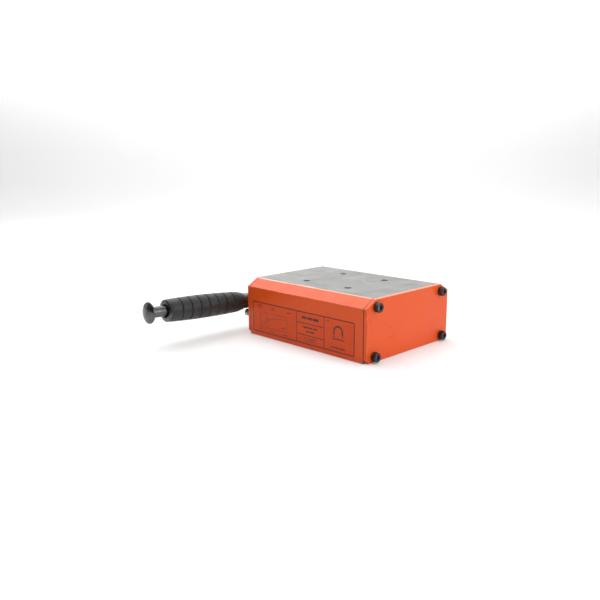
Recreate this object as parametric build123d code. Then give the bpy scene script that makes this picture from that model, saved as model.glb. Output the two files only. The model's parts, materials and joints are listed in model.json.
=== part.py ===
from build123d import *
import os
from math import cos, radians, sin, sqrt

# Lifting magnet with a turning magnet rotor. X runs along the magnet from the lever end to the plain end,
# Y runs from the label side to the back, Z points up, and the origin is the middle of the pole face.

# Outer block
LENGTH = 216.0
WIDTH = 168.2
HEIGHT = 77.4
END_PLATE = 5.0
SHOULDER_WIDTH = 17.6
SHOULDER_HEIGHT = 10.1
FOOT_CUT = 5.0
SEAM_CHAMFER = 0.5
BODY_END = LENGTH / 2 - END_PLATE

# Hollow of the housing and what fills it
WALL = 22.0
CAVITY_HALF = WIDTH / 2 - WALL
CAVITY_TOP = 60.0
BLOCK_THICK = 11.8
CORE_END = BODY_END - BLOCK_THICK - 0.4
SIDE_MAGNET = 12.0
SIDE_MAGNET_FOOT = 14.0
MAGNETS_PER_ROW = 4
MAGNET_GAP = 0.6
SHOE_TOP = 57.0
POLE_GAP = 18.0
SEPARATOR_TOP = 19.8

# Rotor and shaft
SHAFT_Z = 38.6
SHAFT_R = 10.0
ROTOR_R = 18.0
ROTOR_BORE_R = 18.3
ROTOR_HALF = 90.0
END_DISC = 6.0
ROTOR_MAGNET = 14.0
ROTOR_MAGNET_HEIGHT = 27.0
BUSH_R = 13.0
BUSH_CLEARANCE = 0.05
WASHER_THICK = 0.8
SEAL_R = 14.0

# Screws
TOP_SPACING = 75.0
TOP_HOLE_R = 5.0
TOP_LEAD_IN = 0.4
M8_R = 4.0
M8_HEAD_R = 6.5
M8_HEAD = 8.0
M8_DEPTH = 22.0
LOW_HEAD_R = 6.0
FLUSH_HEAD_R = 6.2
LOW_HEAD = 5.2
SPRING_WASHER = 1.4
SPRING_WASHER_R = 6.2
UPPER_SCREW = (66.4, 67.7)
LOWER_SCREW = (70.0, 7.2)
HOLE_CLEARANCE = 0.05

# Lever, measured outwards from the shaft's axis
LEVER_TILT = 3.0
LEVER_OFFSET = 16.5
LEVER_X = -(LENGTH / 2 + LEVER_OFFSET)
TUBE_R = 11.0
TUBE_START = 13.0
TUBE_END = 206.8
SPRING_BORE_R = 8.4
SPRING_BORE_START = 104.0
GRIP_START = 83.5
GRIP_MIDDLE = 156.0
NOSE_LENGTH = 12.0
GRIP_R = 15.9
GRIP_ARC_R = 1120.0
GRIP_END_R = 14.75
GRIP_GROOVE_FIRST = 105.0
GRIP_GROOVE_PITCH = 14.35
GRIP_GROOVES = 7
GROOVE_HALF = 0.8
GROOVE_DEPTH = 1.4
FERRULE_END = 209.6

# Release knob, its rod and its latch
ROD_R = 7.25
ROD_SHOULDER = 188.0
ROD_END = 230.0
TAIL_R = 5.0
TAIL_START = 56.0
KNOB_R = 13.85
KNOB_FRONT = 237.2
KNOB_DOME = 2.9
KNOB_TRAVEL = 12.0
SEAT_THICK = 4.0
SPRING_WIRE = 1.8
SPRING_R = 6.7
SPRING_TURNS = 11
LATCH_FAR = -109.6
LATCH_THICK = 3.3
TONGUE = 5.2
TONGUE_START = 57.0
TONGUE_LENGTH = 10.0

# Limit pins that the lever rests on
PIN_R = 5.0
PIN_REACH = 14.0
PIN_ALONG = 74.0
PIN_GAP = 0.3

# Hub on the shaft's end
HUB_R = 22.0
HUB_NEAR = -109.0
HUB_FAR = -140.0
KEY = 6.0

# Label on the long side
LABEL_LEFT = -97.0
LABEL_RIGHT = 89.5
LABEL_BOTTOM = 5.8
LABEL_TOP = 48.2
LABEL_THICK = 0.25


def block(x0, x1, y0, y1, z0, z1):
    """A box given by its faces."""
    return Pos((x0 + x1) / 2, (y0 + y1) / 2, (z0 + z1) / 2) * Box(x1 - x0, y1 - y0, z1 - z0)


def bar(x0, x1, radius, y=0.0, z=SHAFT_Z):
    """A round bar that lies along X."""
    return Pos((x0 + x1) / 2, y, z) * Rot(0, 90, 0) * Cylinder(radius, x1 - x0)


def ring(x0, x1, outer, inner, y=0.0, z=SHAFT_Z):
    """A ring whose axis lies along X."""
    return bar(x0, x1, outer, y, z) - bar(x0, x1, inner, y, z)


def mirrored(shape):
    """The same piece on the other side of the rotor."""
    return shape.mirror(Plane.XZ)


def outline(foot_cut):
    """The end view: shoulders along the top edges and, on the end plates, cut lower corners."""
    half = WIDTH / 2
    top_half = half - SHOULDER_WIDTH
    side_top = HEIGHT - SHOULDER_HEIGHT
    right = [(half, side_top), (top_half, HEIGHT)]
    if foot_cut:
        right = [(half - foot_cut, 0), (half, foot_cut), *right]
    else:
        right = [(half, 0), *right]
    left = [(-y, z) for y, z in reversed(right)]
    face = make_face(Polyline(*right, *left, close=True))
    soft = [v for v in face.vertices() if v.Y > foot_cut + 1]
    return fillet(soft, 0.8)


def prism(x0, x1, foot_cut, chamfer_low, chamfer_high):
    """The outline drawn out along X, with its end edges broken."""
    solid = extrude(Plane((x0, 0, 0), x_dir=(0, 1, 0), z_dir=(1, 0, 0)) * outline(foot_cut), x1 - x0)
    low = solid.faces().sort_by(Axis.X)[0]
    high = solid.faces().sort_by(Axis.X)[-1]
    if chamfer_low:
        solid = chamfer(low.edges(), chamfer_low)
    if chamfer_high:
        solid = chamfer(solid.faces().sort_by(Axis.X)[-1].edges(), chamfer_high)
    return solid


def plate_screw_places():
    """Where the four M8 screws go through an end plate."""
    return [(side * y, z) for y, z in (UPPER_SCREW, LOWER_SCREW) for side in (-1, 1)]


def pin_place():
    """The front limit pin's centre, under the resting lever."""
    drop = TUBE_R + PIN_R + PIN_GAP
    y = PIN_ALONG * cos(radians(LEVER_TILT)) + drop * sin(radians(LEVER_TILT))
    z = SHAFT_Z + PIN_ALONG * sin(radians(LEVER_TILT)) - drop * cos(radians(LEVER_TILT))
    return -y, z


def pin_places():
    """Both limit pins' centres."""
    y, z = pin_place()
    return [(y, z), (-y, z)]


def cap_screw(x_seat, direction, y, z, length, radius, head_r, head, socket):
    """A socket head cap screw with its head's underside at x_seat and its head towards direction."""
    tip = x_seat - direction * length
    top = x_seat + direction * head
    screw = bar(min(tip, x_seat), max(tip, x_seat), radius, y, z)
    head_bar = bar(min(x_seat, top), max(x_seat, top), head_r, y, z)
    rim = head_bar.faces().sort_by(Axis.X)[-1 if direction > 0 else 0].edges()
    head_bar = fillet(rim, head_r * 0.09)
    hexagon = Plane((top, y, z), z_dir=(-direction, 0, 0)) * RegularPolygon(socket / sqrt(3), 6)
    return screw + head_bar - extrude(hexagon, head * 0.55)


def flush_screw(x_face, direction, y, z, length, radius, head_r, socket):
    """A countersunk screw whose head ends at x_face, facing direction."""
    depth = head_r - radius
    tip = x_face - direction * length
    shank = bar(min(tip, x_face), max(tip, x_face), radius, y, z)
    axis = Plane((x_face, y, z), z_dir=(-direction, 0, 0))
    cone = axis * Pos(0, 0, depth / 2) * Cone(head_r, radius, depth)
    hexagon = Plane((x_face, y, z), z_dir=(-direction, 0, 0)) * RegularPolygon(socket / sqrt(3), 6)
    return shank + cone - extrude(hexagon, depth * 0.7)


def countersink(x_face, direction, y, z, radius, head_r, depth):
    """The hole for a countersunk screw."""
    cone_depth = head_r - radius
    hole = bar(min(x_face - direction * depth, x_face), max(x_face - direction * depth, x_face), radius, y, z)
    axis = Plane((x_face, y, z), z_dir=(-direction, 0, 0))
    return hole + axis * Pos(0, 0, cone_depth / 2) * Cone(head_r, radius, cone_depth)


# Housing, pole shoes and fixed magnets


def tie_screw_places():
    """The screws that hold the bearing blocks up to the housing."""
    x = BODY_END - BLOCK_THICK / 2
    return [(side_x * x, side_y * 44.0) for side_x in (-1, 1) for side_y in (-1, 1)]


def top_hole_places():
    """The four tapped holes for the lifting bracket."""
    half = TOP_SPACING / 2
    return [(sx * half, sy * half) for sx in (-1, 1) for sy in (-1, 1)]


def housing():
    solid = prism(-BODY_END, BODY_END, 0, SEAM_CHAMFER, SEAM_CHAMFER)
    solid -= block(-BODY_END - 1, BODY_END + 1, -CAVITY_HALF, CAVITY_HALF, -1, CAVITY_TOP)
    for x, y in top_hole_places():
        solid -= Pos(x, y, HEIGHT - 10) * Cylinder(TOP_HOLE_R, 22)
        lead_in = Cone(TOP_HOLE_R, TOP_HOLE_R + TOP_LEAD_IN, TOP_LEAD_IN)
        solid -= Pos(x, y, HEIGHT - TOP_LEAD_IN / 2) * lead_in
    for y, z in plate_screw_places():
        for side in (-1, 1):
            low, high = sorted((side * (BODY_END - M8_DEPTH), side * (BODY_END + 1)))
            solid -= bar(low, high, M8_R + HOLE_CLEARANCE, y, z)
    for y, z in pin_places():
        solid -= bar(-BODY_END - 1, -BODY_END + 12, M8_R + HOLE_CLEARANCE, y, z)
    for x, y in tie_screw_places():
        solid -= Pos(x, y, CAVITY_TOP + 5) * Cylinder(3.0 + HOLE_CLEARANCE, 12)
    return solid


def front_pole_shoe():
    outer = -(CAVITY_HALF - SIDE_MAGNET)
    shoe = block(-CORE_END, CORE_END, outer, -POLE_GAP / 2, 0, SHOE_TOP)
    shoe -= bar(-CORE_END - 1, CORE_END + 1, ROTOR_BORE_R)
    for x_face in (-CORE_END, CORE_END):
        for y, z in shoe_screw_places():
            shoe -= bar(x_face - 16, x_face + 16, 3.0 + HOLE_CLEARANCE, -abs(y), z)
    return shoe


def side_magnets():
    """One row of magnet blocks between the front wall and the front pole shoe."""
    step = 2 * CORE_END / MAGNETS_PER_ROW
    inner = -(CAVITY_HALF - SIDE_MAGNET)
    row = []
    for i in range(MAGNETS_PER_ROW):
        x0 = -CORE_END + i * step + MAGNET_GAP / 2
        row.append(block(x0, x0 + step - MAGNET_GAP, -CAVITY_HALF, inner, SIDE_MAGNET_FOOT, SHOE_TOP))
    return Compound(row)


def edge_seal():
    """The strip that closes the magnet slot at the pole face."""
    return block(-CORE_END, CORE_END, -CAVITY_HALF, -(CAVITY_HALF - SIDE_MAGNET), 0, SIDE_MAGNET_FOOT)


def top_spacer():
    """Keeps a pole shoe and its magnets clear of the housing's top."""
    return block(-CORE_END, CORE_END, -CAVITY_HALF, -POLE_GAP / 2, SHOE_TOP, CAVITY_TOP)


def pole_separator():
    strip = block(-CORE_END, CORE_END, -POLE_GAP / 2, POLE_GAP / 2, 0, SEPARATOR_TOP)
    return strip - bar(-CORE_END - 1, CORE_END + 1, ROTOR_BORE_R)


# Bearing blocks, bushes and end plates


def shoe_screw_places():
    """The screws through a bearing block into the pole shoes."""
    return [(side * 32.0, z) for side in (-1, 1) for z in (12.0, 50.0)]


def bearing_block(side):
    inner = side * (BODY_END - BLOCK_THICK)
    outer = side * BODY_END
    low, high = sorted((inner, outer))
    solid = block(low, high, -CAVITY_HALF, CAVITY_HALF, 0, CAVITY_TOP)
    solid -= bar(low - 1, high + 1, BUSH_R)
    for y, z in shoe_screw_places():
        solid -= countersink(outer, side, y, z, 3.0 + HOLE_CLEARANCE, 6.0, BLOCK_THICK + 1)
    for x, y in tie_screw_places():
        if x * side > 0:
            solid -= Pos(x, y, CAVITY_TOP / 2) * Cylinder(3.0 + HOLE_CLEARANCE, CAVITY_TOP + 2)
            solid -= Pos(x, y, 4.0) * Cylinder(5.2, 8.0)
    return solid


def shoe_screws(side):
    screws = [flush_screw(side * BODY_END, side, y, z, 24.0, 3.0, 5.95, 4.0) for y, z in shoe_screw_places()]
    return Compound(screws)


def tie_screws():
    """Cap screws driven up from the pole face side, heads sunk in the bearing blocks."""
    screws = []
    for x, y in tie_screw_places():
        head = Pos(x, y, 5.0) * Cylinder(5.0, 6.0)
        shank = Pos(x, y, 38.0) * Cylinder(3.0, 60.0)
        hexagon = Plane((x, y, 2.0), z_dir=(0, 0, 1)) * RegularPolygon(5.0 / sqrt(3), 6)
        screws.append(head + shank - extrude(hexagon, 3.0))
    return Compound(screws)


def bush(side):
    low, high = sorted((side * (BODY_END - BLOCK_THICK + 0.4), side * (BODY_END - 0.4)))
    return ring(low, high, BUSH_R, SHAFT_R + BUSH_CLEARANCE)


def thrust_washers():
    """One washer on each side, between the rotor and its bearing block."""
    washers = []
    for side in (-1, 1):
        low, high = sorted((side * (ROTOR_HALF + 0.2), side * (ROTOR_HALF + 0.2 + WASHER_THICK)))
        washers.append(ring(low, high, 17.0, SHAFT_R + 0.3))
    return Compound(washers)


def lever_end_plate():
    plate = prism(-LENGTH / 2, -BODY_END, FOOT_CUT, SEAM_CHAMFER, SEAM_CHAMFER)
    plate -= bar(-LENGTH / 2 - 1, -BODY_END + 1, SHAFT_R + 0.6)
    plate -= bar(-LENGTH / 2 + 1.4, -BODY_END + 1, SEAL_R)
    for y, z in plate_screw_places():
        plate -= countersink(-LENGTH / 2, -1, y, z, M8_R + 0.2, FLUSH_HEAD_R + 0.2, END_PLATE + 1)
    for y, z in pin_places():
        plate -= bar(-LENGTH / 2 - 1, -BODY_END + 1, M8_R + HOLE_CLEARANCE, y, z)
    return plate


def plain_end_plate():
    plate = prism(BODY_END, LENGTH / 2, FOOT_CUT, SEAM_CHAMFER, SEAM_CHAMFER)
    for y, z in plate_screw_places():
        plate -= bar(BODY_END - 1, LENGTH / 2 + 1, M8_R + 0.3, y, z)
    return plate


def shaft_seal():
    return ring(-LENGTH / 2 + 1.5, -BODY_END - 0.1, SEAL_R, SHAFT_R + 0.2)


def cap_screws():
    seat = LENGTH / 2 + SPRING_WASHER
    places = plate_screw_places()
    return Compound([cap_screw(seat, 1, y, z, 25.0, M8_R, LOW_HEAD_R, LOW_HEAD, 5.0) for y, z in places])


def spring_washers():
    washers = []
    for y, z in plate_screw_places():
        washer = ring(LENGTH / 2, LENGTH / 2 + SPRING_WASHER, SPRING_WASHER_R, M8_R + 0.15, y, z)
        gap = Pos(LENGTH / 2 + SPRING_WASHER / 2, y, z + 5.5) * Rot(35, 0, 0) * Box(6.0, 0.9, 5.0)
        washers.append(washer - gap)
    return Compound(washers)


def countersunk_screws():
    places = plate_screw_places()
    return Compound([flush_screw(-LENGTH / 2, -1, y, z, 22.0, M8_R, FLUSH_HEAD_R, 5.0) for y, z in places])


def limit_pins():
    """Two stop pins screwed through the lever end plate into the housing."""
    pins = []
    for y, z in pin_places():
        tip = -LENGTH / 2 - PIN_REACH
        head = bar(tip, -LENGTH / 2, PIN_R, y, z)
        head = chamfer(head.faces().sort_by(Axis.X)[0].edges(), 0.7)
        pins.append(head + bar(-LENGTH / 2 - 1, -BODY_END + 11, M8_R, y, z))
    return Compound(pins)


def rating_label():
    face = -WIDTH / 2
    label = block(LABEL_LEFT, LABEL_RIGHT, face - LABEL_THICK, face, LABEL_BOTTOM, LABEL_TOP)
    return fillet(label.edges().filter_by(Axis.Y), 2.0)


# Rotor and shafts


def rotor_pole(side):
    """A steel segment of the rotor, one on each side of its magnets."""
    half = ROTOR_HALF - END_DISC
    edge = ROTOR_MAGNET / 2
    low, high = sorted((side * edge, side * (ROTOR_R + 1)))
    segment = bar(-half, half, ROTOR_R) & block(-half, half, low, high, SHAFT_Z - 20, SHAFT_Z + 20)
    for y, z in rotor_screw_places():
        if y * side > 0:
            for end in (-half, half):
                segment -= bar(end - 12.0, end + 12.0, 2.0 + HOLE_CLEARANCE, y, z)
    return segment


def rotor_magnets():
    half = ROTOR_HALF - END_DISC
    step = 2 * half / MAGNETS_PER_ROW
    edge = ROTOR_MAGNET / 2
    z0 = SHAFT_Z - ROTOR_MAGNET_HEIGHT / 2
    starts = [-half + i * step + MAGNET_GAP / 2 for i in range(MAGNETS_PER_ROW)]
    blocks = [block(x, x + step - MAGNET_GAP, -edge, edge, z0, z0 + ROTOR_MAGNET_HEIGHT) for x in starts]
    return Compound(blocks)


def rotor_keepers():
    """Non-magnetic strips that close the rotor over its magnets."""
    half = ROTOR_HALF - END_DISC
    edge = ROTOR_MAGNET / 2
    strips = []
    for side in (-1, 1):
        z_in = SHAFT_Z + side * ROTOR_MAGNET_HEIGHT / 2
        low, high = sorted((z_in, SHAFT_Z + side * (ROTOR_R + 1)))
        strips.append(bar(-half, half, ROTOR_R) & block(-half, half, -edge, edge, low, high))
    return Compound([s for strip in strips for s in strip.solids()])


def rotor_screw_places():
    return [(sy * 12.6, SHAFT_Z + sz * 5.9) for sy in (-1, 1) for sz in (-1, 1)]


def rotor_screws():
    """Flush screws that hold the end discs to the rotor's steel segments."""
    screws = []
    for side in (-1, 1):
        for y, z in rotor_screw_places():
            screws.append(flush_screw(side * ROTOR_HALF, side, y, z, 16.0, 2.0, 3.6, 2.5))
    return Compound(screws)


def end_disc(side):
    low, high = sorted((side * (ROTOR_HALF - END_DISC), side * ROTOR_HALF))
    disc = bar(low, high, ROTOR_R - 0.2)
    for y, z in rotor_screw_places():
        disc -= countersink(side * ROTOR_HALF, side, y, z, 2.0 + HOLE_CLEARANCE, 3.65, END_DISC + 1)
    return disc


def lever_shaft():
    shaft = end_disc(-1) + bar(HUB_FAR + 0.5, -ROTOR_HALF, SHAFT_R)
    shaft -= bar(HUB_FAR - 1, HUB_FAR + 20, M8_R + HOLE_CLEARANCE)
    return shaft - hub_key()


def plain_shaft():
    return end_disc(1) + bar(ROTOR_HALF, BODY_END - 0.6, SHAFT_R)


def hub_key():
    z0 = SHAFT_Z - SHAFT_R - KEY / 2 + 0.5
    return block(HUB_FAR + 4, HUB_NEAR - 4, -KEY / 2, KEY / 2, z0, z0 + KEY)


def lever_hub():
    """The boss that joins the lever tube to the shaft."""
    hub = bar(HUB_FAR, HUB_NEAR, HUB_R)
    hub = fillet(hub.faces().sort_by(Axis.X)[0].edges(), 2.5)
    hub = chamfer(hub.faces().sort_by(Axis.X)[-1].edges(), 0.8)
    hub -= bar(HUB_FAR - 1, HUB_NEAR + 1, SHAFT_R)
    hub -= along_lever(Pos(0, 0, (TUBE_START + 60) / 2) * Cylinder(TUBE_R, 60 - TUBE_START))
    return hub - hub_key()


def hub_washer():
    return ring(HUB_FAR - 3.0, HUB_FAR, 14.0, M8_R + 0.2)


def hub_screw():
    return cap_screw(HUB_FAR - 3.0, -1, 0, SHAFT_Z, 20.0, M8_R, M8_HEAD_R, M8_HEAD, 6.0)


# Lever pieces are drawn with Z along the lever and X as in the whole, then laid in place


def along_lever(shape):
    return Pos(LEVER_X, 0, SHAFT_Z) * Rot(90 - LEVER_TILT, 0, 0) * shape


def rod_piece(z0, z1, radius):
    return Pos(0, 0, (z0 + z1) / 2) * Cylinder(radius, z1 - z0)


def turned(*points):
    """A turned piece from its half outline of radius and height points."""
    return revolve(Plane.XZ * make_face(Polyline(*points, close=True)), Axis.Z)


def lever_tube():
    tube = rod_piece(TUBE_START, TUBE_END, TUBE_R)
    tube -= rod_piece(SPRING_BORE_START, TUBE_END + 1, SPRING_BORE_R)
    tube -= rod_piece(TAIL_START - KNOB_TRAVEL - 2, SPRING_BORE_START + 1, TAIL_R + 0.1)
    slot_start = TONGUE_START - KNOB_TRAVEL - 0.5
    slot_end = TONGUE_START + TONGUE_LENGTH + 0.5
    tube -= block(0, TUBE_R + 1, -TONGUE / 2 - 0.3, TONGUE / 2 + 0.3, slot_start, slot_end)
    return along_lever(tube)


def grip_radius(place):
    """The barrel's radius at a place along the lever."""
    return GRIP_R - (place - GRIP_MIDDLE) ** 2 / (2 * GRIP_ARC_R)


def rubber_grip():
    """A barrel-shaped sleeve with ring grooves and a tapered inner end."""
    taper_end = GRIP_START + NOSE_LENGTH
    shoulder = grip_radius(taper_end)
    end_r = grip_radius(TUBE_END)
    line = Polyline((TUBE_R, TUBE_END), (TUBE_R, GRIP_START), (TUBE_R + 1.0, GRIP_START))
    nose = ThreePointArc((TUBE_R + 1.0, GRIP_START), (13.45, GRIP_START + 5.0), (shoulder, taper_end))
    barrel = ThreePointArc((shoulder, taper_end), (GRIP_R, GRIP_MIDDLE), (end_r, TUBE_END))
    close_line = Line((end_r, TUBE_END), (TUBE_R, TUBE_END))
    grip = revolve(Plane.XZ * make_face([line, nose, barrel, close_line]), Axis.Z)
    for i in range(GRIP_GROOVES):
        place = GRIP_GROOVE_FIRST + i * GRIP_GROOVE_PITCH
        radius = grip_radius(place)
        outer = rod_piece(place - GROOVE_HALF, place + GROOVE_HALF, radius + 2)
        grip -= outer - rod_piece(place - 1, place + 1, radius - GROOVE_DEPTH)
    return along_lever(grip)


def end_ferrule():
    """The turned collar that closes the tube and guides the rod."""
    collar = turned(
        (ROD_R + 0.05, ROD_SHOULDER + 0.4),
        (SPRING_BORE_R, ROD_SHOULDER + 0.4),
        (SPRING_BORE_R, TUBE_END),
        (GRIP_END_R - 0.1, TUBE_END),
        (GRIP_END_R - 0.1, TUBE_END + 1.2),
        (GRIP_END_R - 2.6, FERRULE_END - 0.4),
        (GRIP_END_R - 3.2, FERRULE_END),
        (ROD_R + 1.7, FERRULE_END),
        (ROD_R + 1.4, FERRULE_END - 4.0),
        (ROD_R + 0.05, FERRULE_END - 5.2),
    )
    return along_lever(collar)


def push_rod():
    rod = rod_piece(ROD_SHOULDER, ROD_END, ROD_R)
    rod += rod_piece(TAIL_START, ROD_SHOULDER, TAIL_R)
    rod += rod_piece(ROD_END, ROD_END + 3.6, M8_R)
    rod -= block(-1.0, TAIL_R + 1, -TONGUE / 2, TONGUE / 2, TONGUE_START, TONGUE_START + TONGUE_LENGTH)
    rod -= latch_screw_hole(2.0 + HOLE_CLEARANCE)
    return along_lever(rod)


def release_knob():
    """A mushroom button with a domed front."""
    back = ROD_END
    disc = turned(
        (0, back),
        (8.0, back),
        (KNOB_R - 1.2, back + 1.6),
        (KNOB_R, back + 2.4),
        (KNOB_R, KNOB_FRONT),
        (0, KNOB_FRONT),
    )
    dome_r = (KNOB_R**2 + KNOB_DOME**2) / (2 * KNOB_DOME)
    knob = disc & Pos(0, 0, KNOB_FRONT - dome_r) * Sphere(dome_r)
    return along_lever(knob - rod_piece(back - 1, back + 3.7, M8_R))


def spring_seat():
    seat = rod_piece(ROD_SHOULDER - SEAT_THICK, ROD_SHOULDER, SPRING_BORE_R - 0.3)
    return along_lever(seat - rod_piece(ROD_SHOULDER - SEAT_THICK - 1, ROD_SHOULDER + 1, TAIL_R))


def return_spring():
    start = SPRING_BORE_START + SPRING_WIRE / 2 + 0.1
    end = ROD_SHOULDER - SEAT_THICK - SPRING_WIRE / 2 - 0.1
    path = Helix(pitch=(end - start) / SPRING_TURNS, height=end - start, radius=SPRING_R)
    wire = sweep(Plane(path @ 0, z_dir=path % 0) * Circle(SPRING_WIRE / 2), path=path, is_frenet=True)
    return along_lever(Pos(0, 0, start) * wire)


def latch_screw_hole(radius):
    place = TONGUE_START + TONGUE_LENGTH / 2
    return Pos(6.0, 0, place) * Rot(0, 90, 0) * Cylinder(radius, 18.0)


def latch_key():
    """The sliding hook between the lever and the end plate."""
    far = LATCH_FAR - LEVER_X
    near = far - LATCH_THICK
    key = block(near, far, -6.0, 6.0, TONGUE_START - 3, TONGUE_START + 13)
    key += block(near, far, 5.0, 24.0, TONGUE_START - 3, TONGUE_START + 5)
    key += block(near, far, 19.0, 24.0, TONGUE_START + 4, TONGUE_START + 8.5)
    corners = key.edges().filter_by(Axis.X)
    key = fillet(corners, 0.8)
    key += block(-1.0, near + 1, -TONGUE / 2, TONGUE / 2, TONGUE_START, TONGUE_START + TONGUE_LENGTH)
    key -= latch_screw_hole(2.0 + HOLE_CLEARANCE)
    place = TONGUE_START + TONGUE_LENGTH / 2
    sink = Plane((far, 0, place), z_dir=(-1, 0, 0)) * Pos(0, 0, 0.9) * Cone(3.85, 2.05, 1.8)
    return along_lever(key - sink)


def latch_screw():
    place = TONGUE_START + TONGUE_LENGTH / 2
    far = LATCH_FAR - LEVER_X
    head = Plane((far, 0, place), z_dir=(-1, 0, 0)) * Pos(0, 0, 0.9) * Cone(3.8, 2.0, 1.8)
    shank = Pos((far - 2.5) / 2, 0, place) * Rot(0, 90, 0) * Cylinder(2.0, far + 2.5)
    slot = Plane((far, 0, place), z_dir=(-1, 0, 0)) * RegularPolygon(2.5 / sqrt(3), 6)
    return along_lever(head + shank - extrude(slot, 1.2))


NODES = {
    "housing": housing(),
    "front_pole_shoe": front_pole_shoe(),
    "rear_pole_shoe": mirrored(front_pole_shoe()),
    "front_side_magnets": side_magnets(),
    "rear_side_magnets": mirrored(side_magnets()),
    "front_edge_seal": edge_seal(),
    "rear_edge_seal": mirrored(edge_seal()),
    "front_top_spacer": top_spacer(),
    "rear_top_spacer": mirrored(top_spacer()),
    "pole_separator": pole_separator(),
    "lever_side_bearing_block": bearing_block(-1),
    "plain_side_bearing_block": bearing_block(1),
    "lever_side_shoe_screws": shoe_screws(-1),
    "plain_side_shoe_screws": shoe_screws(1),
    "block_tie_screws": tie_screws(),
    "lever_side_bush": bush(-1),
    "plain_side_bush": bush(1),
    "thrust_washers": thrust_washers(),
    "lever_end_plate": lever_end_plate(),
    "plain_end_plate": plain_end_plate(),
    "shaft_seal": shaft_seal(),
    "plain_side_cap_screws": cap_screws(),
    "plain_side_spring_washers": spring_washers(),
    "lever_side_flush_screws": countersunk_screws(),
    "limit_pins": limit_pins(),
    "rating_label": rating_label(),
    "front_rotor_pole": rotor_pole(-1),
    "rear_rotor_pole": rotor_pole(1),
    "rotor_magnets": rotor_magnets(),
    "rotor_keepers": rotor_keepers(),
    "rotor_screws": rotor_screws(),
    "lever_shaft": lever_shaft(),
    "plain_shaft": plain_shaft(),
    "lever_hub": lever_hub(),
    "hub_key": hub_key(),
    "hub_washer": hub_washer(),
    "hub_screw": hub_screw(),
    "lever_tube": lever_tube(),
    "rubber_grip": rubber_grip(),
    "end_ferrule": end_ferrule(),
    "return_spring": return_spring(),
    "push_rod": push_rod(),
    "release_knob": release_knob(),
    "spring_seat": spring_seat(),
    "latch_key": latch_key(),
    "latch_screw": latch_screw(),
}

os.makedirs("parts", exist_ok=True)
for name, shape in NODES.items():
    export_step(shape, f"parts/{name}.step")
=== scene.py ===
import json
from math import ceil, cos, exp, hypot, pi, radians, sin, sqrt

import bpy
import numpy as np
from mathutils import Matrix, Vector


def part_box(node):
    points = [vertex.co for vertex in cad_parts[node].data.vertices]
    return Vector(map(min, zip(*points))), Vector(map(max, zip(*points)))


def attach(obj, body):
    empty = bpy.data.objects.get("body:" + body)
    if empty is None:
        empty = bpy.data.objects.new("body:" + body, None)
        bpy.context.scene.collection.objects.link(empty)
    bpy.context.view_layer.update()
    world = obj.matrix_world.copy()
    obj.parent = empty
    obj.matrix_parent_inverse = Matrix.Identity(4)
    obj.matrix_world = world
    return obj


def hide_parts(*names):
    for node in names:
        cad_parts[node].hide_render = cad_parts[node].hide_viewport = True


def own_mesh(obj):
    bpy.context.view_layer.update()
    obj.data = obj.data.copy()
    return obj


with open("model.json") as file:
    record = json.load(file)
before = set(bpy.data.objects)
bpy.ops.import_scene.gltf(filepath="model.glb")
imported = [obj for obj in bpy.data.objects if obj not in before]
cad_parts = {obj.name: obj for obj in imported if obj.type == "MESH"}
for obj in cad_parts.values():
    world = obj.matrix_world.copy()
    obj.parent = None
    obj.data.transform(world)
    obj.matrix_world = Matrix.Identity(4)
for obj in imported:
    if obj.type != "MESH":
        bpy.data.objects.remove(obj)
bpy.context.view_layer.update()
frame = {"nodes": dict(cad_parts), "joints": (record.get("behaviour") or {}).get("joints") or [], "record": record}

NODES = frame["nodes"]
JOINTS = {joint["name"]: joint for joint in frame["joints"]}
MOUNTS = {mount["name"]: mount for mount in frame["record"]["mounts"]}
MM = 0.001

# Sizes of the block: the main ones read from the imported parts, the shoulder and foot cut given
BLOCK_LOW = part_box("lever_end_plate")[0]
BLOCK_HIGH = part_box("plain_end_plate")[1]
LENGTH = BLOCK_HIGH.x - BLOCK_LOW.x
HALF_LENGTH = LENGTH / 2
HALF_WIDTH = BLOCK_HIGH.y
HEIGHT = BLOCK_HIGH.z
BODY_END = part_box("housing")[1].x
SHOULDER_WIDTH = 17.6 * MM
SHOULDER_HEIGHT = 10.1 * MM
FOOT_CUT = 5 * MM


# Node materials


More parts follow.
